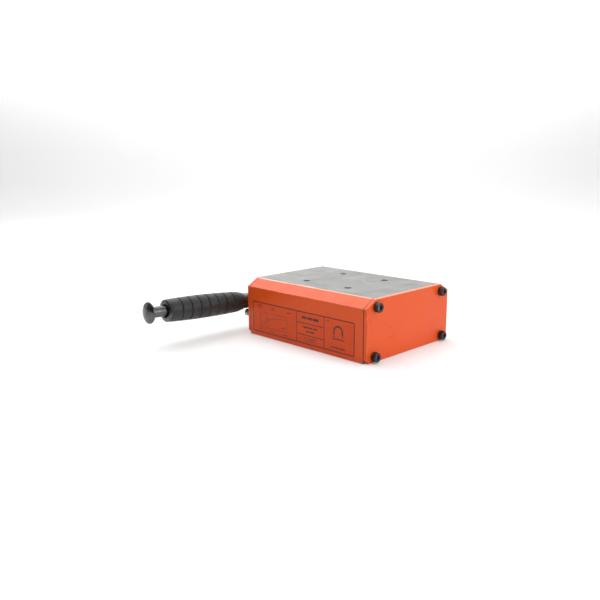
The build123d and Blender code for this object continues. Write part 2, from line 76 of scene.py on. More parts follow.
class Shader:
    """A procedural material: short calls that add nodes and join them."""

    def __init__(self, name):
        self.material = bpy.data.materials.new(name)
        self.material.use_nodes = True
        self.tree = self.material.node_tree
        self.bsdf = self.tree.nodes["Principled BSDF"]
        self.place = self.tree.nodes.new("ShaderNodeTexCoord").outputs["Object"]

    def put(self, socket, value):
        """Links a socket or sets a value."""
        if isinstance(value, bpy.types.NodeSocket):
            self.tree.links.new(value, socket)
        else:
            socket.default_value = value

    def set(self, **values):
        """Inputs of the main shader, with _ for spaces."""
        for name, value in values.items():
            self.put(self.bsdf.inputs[name.replace("_", " ")], value)
        return self

    def math(self, operation, a, b=0.0):
        node = self.tree.nodes.new("ShaderNodeMath")
        node.operation = operation
        for socket, value in zip(node.inputs, (a, b)):
            self.put(socket, value)
        return node.outputs[0]

    def vector(self, operation, a, b=(0, 0, 0)):
        node = self.tree.nodes.new("ShaderNodeVectorMath")
        node.operation = operation
        self.put(node.inputs[0], a)
        self.put(node.inputs[1], b)
        return node.outputs["Value" if operation in ("DOT_PRODUCT", "LENGTH") else "Vector"]

    def stretched(self, scale):
        """The place, scaled by axis, for streaks."""
        return self.vector("MULTIPLY", self.place, scale)

    def spread(self, value, scale):
        """A place that varies with one number only."""
        node = self.tree.nodes.new("ShaderNodeCombineXYZ")
        self.put(node.inputs[0], self.math("MULTIPLY", value, scale))
        return node.outputs[0]

    def noise(self, scale, detail=4.0, rough=0.55, place=None, distortion=0.0):
        node = self.tree.nodes.new("ShaderNodeTexNoise")
        self.put(node.inputs["Vector"], self.place if place is None else place)
        node.inputs["Scale"].default_value = scale
        node.inputs["Detail"].default_value = detail
        node.inputs["Roughness"].default_value = rough
        node.inputs["Distortion"].default_value = distortion
        return node.outputs["Fac"]

    def grain(self, scale):
        """The distance to the nearest of many scattered points."""
        node = self.tree.nodes.new("ShaderNodeTexVoronoi")
        self.put(node.inputs["Vector"], self.place)
        node.inputs["Scale"].default_value = scale
        return node.outputs["Distance"]

    def fit(self, value, low, high, new_low=0.0, new_high=1.0):
        """Maps low to new_low and high to new_high, smoothly and no further."""
        node = self.tree.nodes.new("ShaderNodeMapRange")
        node.interpolation_type = "SMOOTHSTEP"
        for socket, number in zip(node.inputs, (value, low, high, new_low, new_high)):
            self.put(socket, number)
        return node.outputs[0]

    def mix(self, factor, a, b):
        """A colour from a at 0 to b at 1."""
        node = self.tree.nodes.new("ShaderNodeMix")
        node.data_type = "RGBA"
        sockets = [s for s in node.inputs if s.enabled]
        self.put(sockets[0], factor)
        for socket, colour in zip(sockets[1:], (a, b)):
            linked = isinstance(colour, bpy.types.NodeSocket)
            self.put(socket, colour if linked else (*colour, 1.0))
        return [s for s in node.outputs if s.enabled][0]

    def bump(self, height, depth, after=None):
        """A bump whose height of 0 to 1 stands for a depth in metres."""
        node = self.tree.nodes.new("ShaderNodeBump")
        node.inputs["Distance"].default_value = depth
        self.put(node.inputs["Height"], height)
        if after is not None:
            self.put(node.inputs["Normal"], after)
        return node.outputs["Normal"]

    def axes(self):
        """The place's three numbers."""
        node = self.tree.nodes.new("ShaderNodeSeparateXYZ")
        self.put(node.inputs[0], self.place)
        return node.outputs


def edge_distance(sh, planes):
    """How far a point on a convex block is from its nearest edge, given the block's planes."""
    folded = sh.vector("ABSOLUTE", sh.place)
    first, second = 1.0, 1.0
    for normal, offset in planes:
        away = sh.math("SUBTRACT", offset, sh.vector("DOT_PRODUCT", folded, normal))
        second = sh.math("MINIMUM", second, sh.math("MAXIMUM", first, away))
        first = sh.math("MINIMUM", first, away)
    return second


def block_planes(near, far, foot_cut):
    """The outer planes of the housing or an end plate, in folded X and Y."""
    slope = hypot(SHOULDER_WIDTH, SHOULDER_HEIGHT)
    shoulder = (0, SHOULDER_HEIGHT / slope, SHOULDER_WIDTH / slope)
    offset = shoulder[1] * HALF_WIDTH + shoulder[2] * (HEIGHT - SHOULDER_HEIGHT)
    planes = [((1, 0, 0), far), ((0, 1, 0), HALF_WIDTH), (shoulder, offset)]
    planes += [((0, 0, 1), HEIGHT), ((0, 0, -1), 0)]
    if near:
        planes.append(((-1, 0, 0), -near))
    if foot_cut:
        planes.append(((0, sqrt(0.5), -sqrt(0.5)), (HALF_WIDTH - foot_cut) * sqrt(0.5)))
    return planes


ORANGE = (0.80, 0.094, 0.007)
ORANGE_DEEP = (0.72, 0.074, 0.005)
ORANGE_THIN = (0.86, 0.30, 0.15)
BARE_STEEL = (0.50, 0.51, 0.50)
CREAM_EDGE = (0.90, 0.62, 0.44)


def painted_seam_shade(sh):
    """Painted shade in the seams between the housing and its end plates, darker at the plain end and fainter
    towards the top.
    """
    x, _, z = sh.axes()
    away = sh.math("ABSOLUTE", sh.math("SUBTRACT", sh.math("ABSOLUTE", x), BODY_END))
    shade_amount = sh.fit(away, 0.35 * MM, 0.85 * MM, 0.92, 0.0)
    shade_amount = sh.math("MULTIPLY", shade_amount, sh.fit(x, -0.05, 0.05, 0.35, 1.0))
    return sh.math("MULTIPLY", shade_amount, sh.fit(z, HEIGHT - 13 * MM, HEIGHT - 8 * MM, 1.0, 0.35))


def orange_paint(name, planes, wear=1.0, top_wear=0.8):
    """Sprayed paint with orange peel, thin edges, small chips, fine scratches and faint grime."""
    sh = Shader(name)
    distance = edge_distance(sh, planes)
    broad = sh.noise(14, 3)
    ragged = sh.noise(420, 5, 0.65)
    patchy = sh.noise(33, 2)
    upper = sh.fit(sh.axes()[2], HEIGHT * 0.80, HEIGHT * 0.97, 0.0, 1.0)
    reach = sh.math("ADD", distance, sh.math("MULTIPLY", ragged, 0.0016))
    thin = sh.fit(reach, 0.0008, 0.0016, 0.50, 0.0)
    thin_patch = sh.math("ADD", patchy, sh.math("MULTIPLY", upper, 0.2))
    thin = sh.math("MULTIPLY", thin, sh.fit(thin_patch, 0.4, 0.62))
    chip_reach = sh.math("SUBTRACT", reach, sh.math("MULTIPLY", upper, 0.00045))
    chip_reach = sh.math("ADD", chip_reach, sh.math("MULTIPLY", patchy, 0.0030))
    chip = sh.fit(chip_reach, 0.00165, 0.00190, wear, 0.0)
    streaks = sh.noise(1.0, 6, 0.7, sh.stretched((55, 55, 900)))
    scratch = sh.fit(streaks, 0.735, 0.775, 0.0, 0.5)
    scratch = sh.math("MULTIPLY", scratch, sh.fit(sh.noise(20, 2), 0.5, 0.62))
    grime = sh.fit(sh.noise(70, 6, 0.7), 0.56, 0.76)
    grime = sh.math("MULTIPLY", grime, sh.fit(sh.noise(11, 2), 0.52, 0.68))
    colour = sh.mix(broad, ORANGE_DEEP, ORANGE)
    colour = sh.mix(sh.math("MULTIPLY", grime, 0.35), colour, (0.20, 0.035, 0.016))
    colour = sh.mix(scratch, colour, (0.42, 0.055, 0.022))
    colour = sh.mix(thin, colour, ORANGE_THIN)
    rubbed_top = sh.fit(sh.axes()[2], HEIGHT - 1.1 * MM, HEIGHT - 0.5 * MM, 0.0, top_wear)
    rubbed_top = sh.math("MULTIPLY", rubbed_top, sh.fit(ragged, 0.30, 0.55, 0.45, 1.0))
    colour = sh.mix(rubbed_top, colour, CREAM_EDGE)
    # Painted shade: a near-black brown line in the seams to the end plates.
    colour = sh.mix(painted_seam_shade(sh), colour, (0.035, 0.008, 0.004))
    colour = sh.mix(chip, colour, BARE_STEEL)
    peel = sh.noise(560, 2, 0.4)
    normal = sh.bump(peel, 0.00005)
    normal = sh.bump(sh.math("SUBTRACT", 1.0, sh.math("MAXIMUM", chip, scratch)), 0.00006, normal)
    rough = sh.fit(sh.noise(60, 4), 0.3, 0.7, 0.33, 0.45)
    rough = sh.math("ADD", rough, sh.math("MULTIPLY", grime, 0.25))
    metal = sh.math("MULTIPLY", chip, 0.85)
    sh.set(Base_Color=colour, Roughness=rough, Metallic=metal, Normal=normal)
    sh.set(Specular_IOR_Level=0.30)
    return sh.material


def shade(tint, share):
    """A tint made darker."""
    return tuple(t * share for t in tint)


RUST = (0.17, 0.085, 0.045)


def ground_steel(name, tint, along=(3, 700, 700), rough=(0.40, 0.56)):
    """Surface-ground steel: fine parallel lines, cloudy oxide, small dents and rust specks."""
    sh = Shader(name)
    lines = sh.noise(1.0, 5, 0.75, sh.stretched(along))
    wide = sh.noise(1.0, 3, 0.6, sh.stretched(tuple(a * 0.12 for a in along)))
    cloud = sh.noise(24, 5, 0.6, distortion=0.6)
    speck = sh.fit(sh.noise(330, 3, 0.6), 0.70, 0.76)
    speck = sh.math("MULTIPLY", speck, sh.fit(sh.noise(28, 2), 0.50, 0.66))
    fine = sh.fit(sh.noise(700, 3, 0.7), 0.35, 0.65, 0.0, 0.22)
    colour = sh.mix(sh.fit(lines, 0.3, 0.7), shade(tint, 0.80), tint)
    colour = sh.mix(sh.fit(cloud, 0.42, 0.70, 0.0, 0.20), colour, shade(tint, 0.78))
    colour = sh.mix(fine, colour, shade(tint, 0.70))
    colour = sh.mix(sh.math("MULTIPLY", speck, 0.75), colour, RUST)
    height = sh.math("ADD", sh.math("MULTIPLY", lines, 0.6), sh.math("MULTIPLY", wide, 0.4))
    normal = sh.bump(height, 0.00003)
    normal = sh.bump(sh.math("SUBTRACT", 1.0, speck), 0.00008, normal)
    roughness = sh.fit(cloud, 0.3, 0.7, *rough)
    roughness = sh.math("ADD", roughness, sh.math("MULTIPLY", speck, 0.3))
    metal = sh.math("SUBTRACT", 0.88, sh.math("MULTIPLY", speck, 0.8))
    sh.set(Base_Color=colour, Roughness=roughness, Metallic=metal, Normal=normal)
    return sh.material


TURNING_MARKS = 2600.0


def turned_metal(name, tint, dark, rough=(0.24, 0.38), axis=(1, 0, 0)):
    """Lathe-turned metal: fine rings across an axis, smudges and small nicks."""
    sh = Shader(name)
    along = sh.vector("DOT_PRODUCT", sh.place, tuple(axis))
    rings = sh.noise(1.0, 3, 0.7, sh.spread(along, TURNING_MARKS))
    smudge = sh.noise(110, 5, 0.65, distortion=0.8)
    nick = sh.fit(sh.noise(640, 3, 0.6), 0.70, 0.76)
    colour = sh.mix(sh.fit(rings, 0.3, 0.7, 0.0, 0.6), tint, shade(tint, 0.82))
    colour = sh.mix(sh.fit(smudge, 0.46, 0.72, 0.0, 0.7), colour, dark)
    colour = sh.mix(sh.math("MULTIPLY", nick, 0.6), colour, dark)
    normal = sh.bump(rings, 0.000012)
    normal = sh.bump(sh.math("SUBTRACT", 1.0, nick), 0.00004, normal)
    roughness = sh.fit(smudge, 0.3, 0.7, *rough)
    sh.set(Base_Color=colour, Roughness=roughness, Metallic=1.0, Normal=normal)
    return sh.material


def black_oxide(name, tint=(0.045, 0.042, 0.047), bright=(0.24, 0.21, 0.24)):
    """Blackened steel with an oily film, rubbed brighter in places."""
    sh = Shader(name)
    cloud = sh.noise(260, 4, 0.6)
    rubbed = sh.fit(sh.noise(150, 6, 0.75), 0.44, 0.70, 0.0, 0.45)
    colour = sh.mix(rubbed, tint, bright)
    normal = sh.bump(sh.noise(1500, 3, 0.6), 0.00002)
    roughness = sh.fit(cloud, 0.3, 0.7, 0.26, 0.46)
    sh.set(Base_Color=colour, Roughness=roughness, Metallic=0.85, Normal=normal)
    return sh.material


def grip_rubber():
    """Matt moulded rubber: fine grain, dusty in patches and slightly polished in others."""
    sh = Shader("grip_rubber")
    fine = sh.noise(2400, 3, 0.6)
    pebble = sh.grain(1500)
    worn = sh.fit(sh.noise(34, 4, 0.6), 0.38, 0.70)
    dust = sh.math("MULTIPLY", sh.fit(sh.noise(300, 5, 0.7), 0.52, 0.74), 0.5)
    colour = sh.mix(worn, (0.011, 0.0115, 0.012), (0.019, 0.020, 0.0205))
    colour = sh.mix(dust, colour, (0.040, 0.041, 0.041))
    normal = sh.bump(fine, 0.00006)
    normal = sh.bump(pebble, 0.00004, normal)
    sh.set(Base_Color=colour, Roughness=sh.fit(worn, 0.0, 1.0, 0.50, 0.40), Normal=normal)
    sh.set(Specular_IOR_Level=0.45)
    return sh.material


def label_foil():
    """Printed foil in nearly the block's colour, with a faint sheen and rubbed spots."""
    sh = Shader("label_foil")
    mottled = sh.noise(90, 4, 0.6)
    rubbed = sh.fit(sh.noise(38, 5, 0.7, distortion=0.5), 0.58, 0.74, 0.0, 0.35)
    colour = sh.mix(mottled, (0.66, 0.066, 0.010), (0.76, 0.092, 0.018))
    colour = sh.mix(rubbed, colour, (0.84, 0.17, 0.07))
    normal = sh.bump(sh.noise(240, 3, 0.5), 0.00004)
    sh.set(Base_Color=colour, Roughness=sh.fit(mottled, 0.3, 0.7, 0.38, 0.50), Normal=normal)
    sh.set(Specular_IOR_Level=0.18)
    return sh.material


def label_ink():
    """Dark brown print, thin where it is rubbed."""
    sh = Shader("label_ink")
    patch = sh.fit(sh.noise(520, 4, 0.7), 0.42, 0.72, 0.0, 0.55)
    colour = sh.mix(patch, (0.040, 0.008, 0.003), (0.14, 0.022, 0.008))
    normal = sh.bump(sh.noise(1800, 2, 0.5), 0.00001)
    sh.set(Base_Color=colour, Roughness=sh.fit(patch, 0.0, 0.55, 0.42, 0.55), Normal=normal)
    return sh.material


def plated(name, tint):
    """Metal plating with a faint crystal pattern."""
    sh = Shader(name)
    cells = sh.grain(420)
    cloud = sh.noise(45, 4, 0.6)
    colour = sh.mix(sh.fit(cells, 0.0, 0.7), shade(tint, 0.86), tint)
    colour = sh.mix(sh.fit(cloud, 0.45, 0.75, 0.0, 0.5), colour, shade(tint, 0.7))
    normal = sh.bump(cells, 0.000015)
    roughness = sh.fit(cloud, 0.3, 0.7, 0.28, 0.44)
    sh.set(Base_Color=colour, Roughness=roughness, Metallic=0.95, Normal=normal)
    return sh.material


def plain_floor():
    """Pale studio paper with a very faint tooth, which glows more higher up so that the wall stays pale."""
    sh = Shader("studio_paper")
    colour = sh.mix(sh.noise(3, 2), (0.80, 0.80, 0.80), (0.82, 0.82, 0.82))
    sh.set(Base_Color=colour, Roughness=0.85, Normal=sh.bump(sh.noise(500, 2), 0.00005))
    glow = sh.fit(sh.axes()[2], 0.1, 1.2, 0.12, 0.75)
    sh.set(Specular_IOR_Level=0.15, Emission_Color=(1, 1, 1, 1), Emission_Strength=glow)
    return sh.material


# Mesh helpers


def mesh_object(name, points, faces, material, sharp=34):
    """A new piece, smooth except across edges sharper than the given angle."""
    mesh = bpy.data.meshes.new(name)
    mesh.from_pydata([tuple(p) for p in points], [], faces)
    mesh.materials.append(material)
    mesh.validate()
    mesh.update()
    mesh.polygons.foreach_set("use_smooth", [True] * len(mesh.polygons))
    mesh.set_sharp_from_angle(angle=radians(sharp))
    piece = bpy.data.objects.new(name, mesh)
    bpy.context.scene.collection.objects.link(piece)
    return piece


def lay_rings(rings, closed=False):
    """Points and faces of a skin through rings of equal length. A ring of one point is a tip, and a skin
    that isn't closed is capped at rings which aren't tips."""
    points, faces, starts = [], [], []
    for ring in rings:
        starts.append(len(points))
        points.extend(ring)
    pairs = list(zip(range(len(rings)), range(1, len(rings))))
    if closed:
        pairs.append((len(rings) - 1, 0))
    for a, b in pairs:
        count = max(len(rings[a]), len(rings[b]))
        for i in range(count):
            j = (i + 1) % count
            if len(rings[a]) == 1:
                faces.append((starts[a], starts[b] + j, starts[b] + i))
            elif len(rings[b]) == 1:
                faces.append((starts[a] + i, starts[a] + j, starts[b]))
            else:
                faces.append((starts[a] + i, starts[a] + j, starts[b] + j, starts[b] + i))
    if not closed:
        if len(rings[0]) > 1:
            faces.append(tuple(reversed(range(starts[0], starts[0] + len(rings[0])))))
        if len(rings[-1]) > 1:
            faces.append(tuple(range(starts[-1], starts[-1] + len(rings[-1]))))
    return points, faces


def soften(corners, steps=4):
    """An outline with its corners rounded: each corner is (radius, place, how far the rounding reaches)."""
    out = []
    for i, (r, z, size) in enumerate(corners):
        here = Vector((r, z))
        if size <= 0 or i in (0, len(corners) - 1):
            out.append((r, z))
            continue
        before = Vector(corners[i - 1][:2]) - here
        after = Vector(corners[i + 1][:2]) - here
        start = here + before.normalized() * min(size, before.length * 0.48)
        end = here + after.normalized() * min(size, after.length * 0.48)
        for k in range(steps + 1):
            t = k / steps
            p = start * (1 - t) ** 2 + here * (2 * t * (1 - t)) + end * t**2
            out.append((p.x, p.y))
    return out


def circle_ring(radius, place, sides):
    """A ring of points on a circle, or its middle for no radius."""
    if radius <= 0:
        return [Vector((0, 0, place))]
    angles = (2 * pi * i / sides for i in range(sides))
    return [Vector((radius * cos(a), radius * sin(a), place)) for a in angles]


def lathe(name, outline, material, frame_matrix, sides=128, closed=False, sharp=34):
    """A turned piece about the Z axis of the given frame, from (radius, place) points in millimetres."""
    rings = [circle_ring(r * MM, z * MM, sides) for r, z in outline]
    points, faces = lay_rings(rings, closed)
    return mesh_object(name, [frame_matrix @ p for p in points], faces, material, sharp)


def lever_matrix():
    """The frame along the lever: Z points out to the knob, and the origin is on the shaft's axis."""
    low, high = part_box("lever_tube")
    out = -Vector(JOINTS["knob_press"]["axis"]).normalized()
    across = Vector((1, 0, 0))
    up = out.cross(across)
    turn = Matrix((across, up, out)).transposed().to_4x4()
    origin = Vector(((low.x + high.x) / 2, 0, JOINTS["lever_turn"]["pos_m"][2]))
    return Matrix.Translation(origin) @ turn


LEVER = lever_matrix()
LEVER_OUT = (LEVER.to_3x3() @ Vector((0, 0, 1))).normalized()


def corners_of(node):
    """The corner points of a CAD node's mesh."""
    flat = np.empty(len(NODES[node].data.vertices) * 3, np.float32)
    NODES[node].data.vertices.foreach_get("co", flat)
    return flat.reshape(-1, 3)


def reach(node):
    """Where a CAD node starts and ends along the lever, and its radius, in millimetres."""
    back = np.array(LEVER.inverted())
    local = corners_of(node) @ back[:3, :3].T + back[:3, 3]
    radius = np.hypot(local[:, 0], local[:, 1]).max()
    return tuple(float(v / MM) for v in (local[:, 2].min(), local[:, 2].max(), radius))


def along_x(point, facing):
    """A frame whose Z points along X, towards facing."""
    z = Vector((facing, 0, 0))
    x = Vector((0, 0, 1))
    y = z.cross(x)
    return Matrix.Translation(point) @ Matrix((x, y, z)).transposed().to_4x4()


# Lever, grip and knob


# Grip, in millimetres along the lever
GRIP_MIDDLE, GRIP_BARREL_R, GRIP_NOSE = 156.0, 1120.0, 12.0
GRIP_CROWN = 0.10
GROOVE_FIRST, GROOVE_PITCH, GROOVES = 105.0, 14.35, 7
GROOVE_REACH, GROOVE_DEPTH = 0.85, 1.5
GRIP_STEP = 0.25


def grip(material):
    """The rubber sleeve: a barrel with rounded ring grooves, crowned bands and a rolled inner end."""
    start, end, top = reach("rubber_grip")
    inner = reach("lever_tube")[2]
    grooves = [GROOVE_FIRST + GROOVE_PITCH * i for i in range(GROOVES)]

    def radius(place):
        barrel = top - (place - GRIP_MIDDLE) ** 2 / (2 * GRIP_BARREL_R)
        if place < start + GRIP_NOSE:
            turn = (start + GRIP_NOSE - place) / GRIP_NOSE
            barrel -= (barrel - inner - 1.0) * turn**1.9
        away = min(abs(place - g) for g in grooves)
        crown = GRIP_CROWN * sin(pi * min(away / GROOVE_PITCH, 1.0))
        dip = GROOVE_DEPTH * exp(-((away / GROOVE_REACH) ** 4)) if away < 3 else 0.0
        return barrel + crown - dip

    steps = ceil((end - start) / GRIP_STEP)
    places = [start + (end - start) * i / steps for i in range(steps + 1)]
    outline = [(inner, start), *((radius(p), p) for p in places[1:-1])]
    outline = [p for p in outline if p[1] < end - 0.6]
    rim = radius(end)
    outline += [(rim - 0.08, end - 0.5), (rim - 0.35, end - 0.15), (rim - 0.8, end), (inner, end)]
    piece = lathe("rubber_grip_sleeve", outline, material, LEVER, 160, closed=True, sharp=50)
    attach(piece, "lever")
    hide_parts("rubber_grip")


FERRULE_SPIGOT_R = 8.4


def ferrule(material):
    """The turned end collar with a coned face and a deep mouth round the rod."""
    start, end, outer = reach("end_ferrule")
    rod = reach("push_rod")[2]
    flange = reach("rubber_grip")[1]
    corners = [
        (rod + 0.05, start, 0),
        (FERRULE_SPIGOT_R, start, 0.2),
        (FERRULE_SPIGOT_R, flange, 0.2),
        (outer - 1.3, flange, 0.1),
        (outer - 1.3, flange + 0.45, 0.1),
        (outer, flange + 0.5, 0.2),
        (outer, flange + 1.7, 0.5),
        (outer - 2.5, end - 0.4, 0.5),
        (outer - 3.1, end, 0.3),
        (rod + 1.9, end, 0.4),
        (rod + 1.5, end - 4.0, 0.4),
        (rod + 0.05, end - 5.2, 0),
    ]
    piece = lathe("turned_end_ferrule", soften(corners), material, LEVER, 128, closed=True)
    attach(piece, "lever")
    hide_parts("end_ferrule")


KNOB_DOME, KNOB_BACK_R = 2.9, 8.0
KNOB_STEPS = 22


def knob(material):
    """The mushroom button: coned back, narrow rim and a softly domed front."""
    start, end, outer = reach("release_knob")
    ball = (outer**2 + KNOB_DOME**2) / (2 * KNOB_DOME)
    corners = [
        (0, start, 0),
        (KNOB_BACK_R, start, 0.4),
        (outer - 1.2, start + 1.6, 0.6),
        (outer, start + 2.4, 0.6),
        (outer, end - KNOB_DOME - 0.1, 0.5),
    ]
    outline = soften([*corners, (outer - 0.8, end - KNOB_DOME + 0.2, 0.2)])
    rim = outer - 1.0
    for i in range(KNOB_STEPS + 1):
        r = rim * (1 - i / KNOB_STEPS)
        outline.append((r, end - ball + sqrt(ball**2 - r**2)))
    piece = lathe("domed_release_knob", outline, material, LEVER, 160)
    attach(piece, "knob")
    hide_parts("release_knob")


SPRING_WIRE_R, SPRING_TURNS = 0.9, 11


def spring(material):
    """The return spring, a coil of round wire."""
    start, end, outer = reach("return_spring")
    coil, low, high = outer - SPRING_WIRE_R, start + SPRING_WIRE_R, end - SPRING_WIRE_R
    rise = (high - low) / (SPRING_TURNS * 2 * pi)
    steps, sides = SPRING_TURNS * 32, 10
    rings = []
    for i in range(steps + 1):
        a = SPRING_TURNS * 2 * pi * i / steps
        out = Vector((cos(a), sin(a), 0))
        side = Vector((-coil * sin(a), coil * cos(a), rise)).normalized().cross(out)
        middle = out * coil + Vector((0, 0, low + rise * a))
        ring = []
        for k in range(sides):
            b = 2 * pi * k / sides
            point = middle + (out * cos(b) + side * sin(b)) * SPRING_WIRE_R
            ring.append(LEVER @ (point * MM))
        rings.append(ring)
    points, faces = lay_rings(rings)
    piece = mesh_object("coiled_return_spring", points, faces, material)
    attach(piece, "lever")
    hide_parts("return_spring")
    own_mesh(piece)


# Screws and washers


def hex_ring(across_flats, place, sides):
    """A ring of points on a hexagon."""
    ring = []
    for i in range(sides):
        a = 2 * pi * i / sides
        fold = (a % (pi / 3)) - pi / 6
        r = across_flats / 2 / cos(fold)
        ring.append(Vector((r * cos(a), r * sin(a), place)))
    return ring


def knurl_ring(radius, place, sides, depth):
    """A ring of points that alternate in and out."""
    ring = []
    for i in range(sides):
        a = 2 * pi * i / sides
        r = radius - (depth if i % 3 else 0.0)
        ring.append(Vector((r * cos(a), r * sin(a), place)))
    return ring


SCREW_SIDES = 144
KNURL_DEPTH = 0.16

# Screw sizes in millimetres: head radius, shank radius, length, socket across flats, socket depth
END_SCREW = (6.0, 4.0, 25.0, 5.0, 2.6)
HUB_SCREW = (6.5, 4.0, 20.0, 6.0, 4.0)
WASHER_INNER_R, WASHER_OUTER_R, WASHER_LIFT = 4.15, 6.2, 0.05


def cap_head_rings(head, sizes):
    """A cap screw from its tip to the bottom of its socket, with a knurled head of the given height."""
    radius, shank, length, socket, deep = sizes
    n = SCREW_SIDES
    rings = [circle_ring(shank * 0.82, -length, n), circle_ring(shank, -length + 0.9, n)]
    rings += [circle_ring(shank, -0.1, n), circle_ring(radius - 0.7, 0, n)]
    rings.append(circle_ring(radius - 0.15, 0.2, n))
    rings += [circle_ring(radius - 0.12, 0.9, n), knurl_ring(radius, 1.15, n, KNURL_DEPTH)]
    rings.append(knurl_ring(radius, head - 1.5, n, KNURL_DEPTH))
    rings.append(circle_ring(radius - 0.12, head - 1.25, n))
    for lower, inward in ((0.80, 0.14), (0.45, 0.32), (0.2, 0.58), (0.05, 0.88), (0.0, 1.15)):
        rings.append(circle_ring(radius - inward, head - lower, n))
    mouth = socket / sqrt(3) + 0.45
    rings += [circle_ring(mouth, head, n), hex_ring(socket * 1.04, head - 0.3, n)]
    rings += [hex_ring(socket, head - 0.5, n), hex_ring(socket, head - deep, n)]
    rings += [circle_ring(socket * 0.40, head - deep - 0.4, n), circle_ring(0, head - deep - 1.1, n)]
    return [[p * MM for p in ring] for ring in rings]


def join(name, parts, material, sharp=34):
    """One object from several (points, faces)."""
    points, faces = [], []
    for some_points, some_faces in parts:
        start = len(points)
        points.extend(some_points)
        faces.extend(tuple(start + i for i in face) for face in some_faces)
    return mesh_object(name, points, faces, material, sharp)


def screw_places(node):
    """The middle of each solid of a node with one solid in each corner, seen along X."""
    co = corners_of(node)
    middle = (co.min(0) + co.max(0)) / 2
    places = []
    for side in (co[:, 1] < middle[1], co[:, 1] > middle[1]):
        for level in (co[:, 2] < middle[2], co[:, 2] > middle[2]):
            some = co[side & level]
            if len(some):
                places.append(Vector((0, *((some.min(0) + some.max(0)) / 2)[1:])))
    return places


def end_screws(material):
    """The four cap screws of the plain end plate, each turned its own way."""
    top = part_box("plain_side_cap_screws")[1].x
    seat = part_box("plain_side_spring_washers")[1].x
    parts = []
    for i, place in enumerate(screw_places("plain_side_cap_screws")):
        place.x = seat
        matrix = along_x(place, 1) @ Matrix.Rotation(radians(17 + 71 * i), 4, "Z")
        points, faces = lay_rings(cap_head_rings((top - seat) / MM, END_SCREW))
        parts.append(([matrix @ p for p in points], faces))
    piece = join("m8_cap_screws", parts, material, 30)
    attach(piece, "magnet_block")
    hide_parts("plain_side_cap_screws")


def split_washer(matrix, thick):
    """A spring washer: a square wire wound nearly once round, its ends standing apart."""
    inner, outer = WASHER_INNER_R, WASHER_OUTER_R
    steps, gap, end_slant, edge = 84, radians(9), 0.12, 0.22
    outline = [(inner + edge, 0), (outer - edge, 0), (outer, edge), (outer, thick - edge)]
    outline += [(outer - edge, thick), (inner + edge, thick), (inner, thick - edge), (inner, edge)]
    rings = []
    for i in range(steps + 1):
        part = i / steps
        a = gap + part * (2 * pi - 2 * gap)
        a += (0.5 - part) * 2 * end_slant if i in (0, steps) else 0.0
        rise = WASHER_LIFT * (part - 0.5)
        ring = [Vector((r * cos(a), r * sin(a), z + rise)) for r, z in outline]
        rings.append([matrix @ (p * MM) for p in ring])
    return lay_rings(rings)


def end_washers(material):
    """The split washers under the end plate's cap screws."""
    low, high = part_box("plain_side_spring_washers")
    parts = []
    for i, place in enumerate(screw_places("plain_side_spring_washers")):
        place.x = low.x
        matrix = along_x(place, 1) @ Matrix.Rotation(radians(140 + 63 * i), 4, "Z")
        parts.append(split_washer(matrix, (high.x - low.x) / MM - 2 * WASHER_LIFT))
    piece = join("split_spring_washers", parts, material, 30)
    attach(piece, "magnet_block")
    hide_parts("plain_side_spring_washers")


def hub_cap_screw(material):
    """The screw that holds the hub on the shaft."""
    low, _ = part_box("hub_screw")
    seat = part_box("hub_washer")[0].x
    place = Vector((seat, 0, JOINTS["lever_turn"]["pos_m"][2]))
    points, faces = lay_rings(cap_head_rings((seat - low.x) / MM, HUB_SCREW))
    matrix = along_x(place, -1)
    piece = mesh_object("hub_cap_screw", [matrix @ p for p in points], faces, material, 30)
    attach(piece, "lever")
    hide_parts("hub_screw")


# Tapped holes on top


THREAD_PITCH, THREAD_DEPTH, THREAD_HEIGHT, THREAD_START = 1.5, 14.0, 0.8, 1.6
THREAD_STEPS_PER_TURN = 48
THREAD_FADE = 12


def thread_rings(middle, radius):
    """A thread's ridge, wound down from the top of a hole and thinned out at both ends."""
    steps = int(THREAD_DEPTH / THREAD_PITCH * THREAD_STEPS_PER_TURN)
    rings = []
    for i in range(steps + 1):
        a = 2 * pi * i / THREAD_STEPS_PER_TURN
        z = -THREAD_START - THREAD_PITCH * i / THREAD_STEPS_PER_TURN
        crest = radius - THREAD_HEIGHT * min(1.0, i / THREAD_FADE, (steps - i) / THREAD_FADE)
        root = radius + 0.05
        section = ((root, z + 0.55), (crest, z + 0.08), (crest, z - 0.08), (root, z - 0.55))
        rings.append([middle + Vector((r * cos(a), r * sin(a), h)) * MM for r, h in section])
    return rings


def bracket_threads(material):
    """The thread that shows inside the four tapped holes."""
    pattern = MOUNTS["bracket_holes"]
    dims = pattern["dims"]
    away = Vector((dims["spacing_x_mm"], dims["spacing_y_mm"], 0)) * MM / 2
    parts = []
    for sx in (-1, 1):
        for sy in (-1, 1):
            middle = Vector(pattern["pos_m"]) + Vector((sx * away.x, sy * away.y, 0))
            parts.append(lay_rings(thread_rings(middle, dims["hole_r_mm"])))
    piece = join("bracket_hole_threads", parts, material, 25)
    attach(piece, "magnet_block")


# Label print


PRINT_THICK, PRINT_SUNK = 0.03, 0.01
LABEL_MARGIN = 0.6


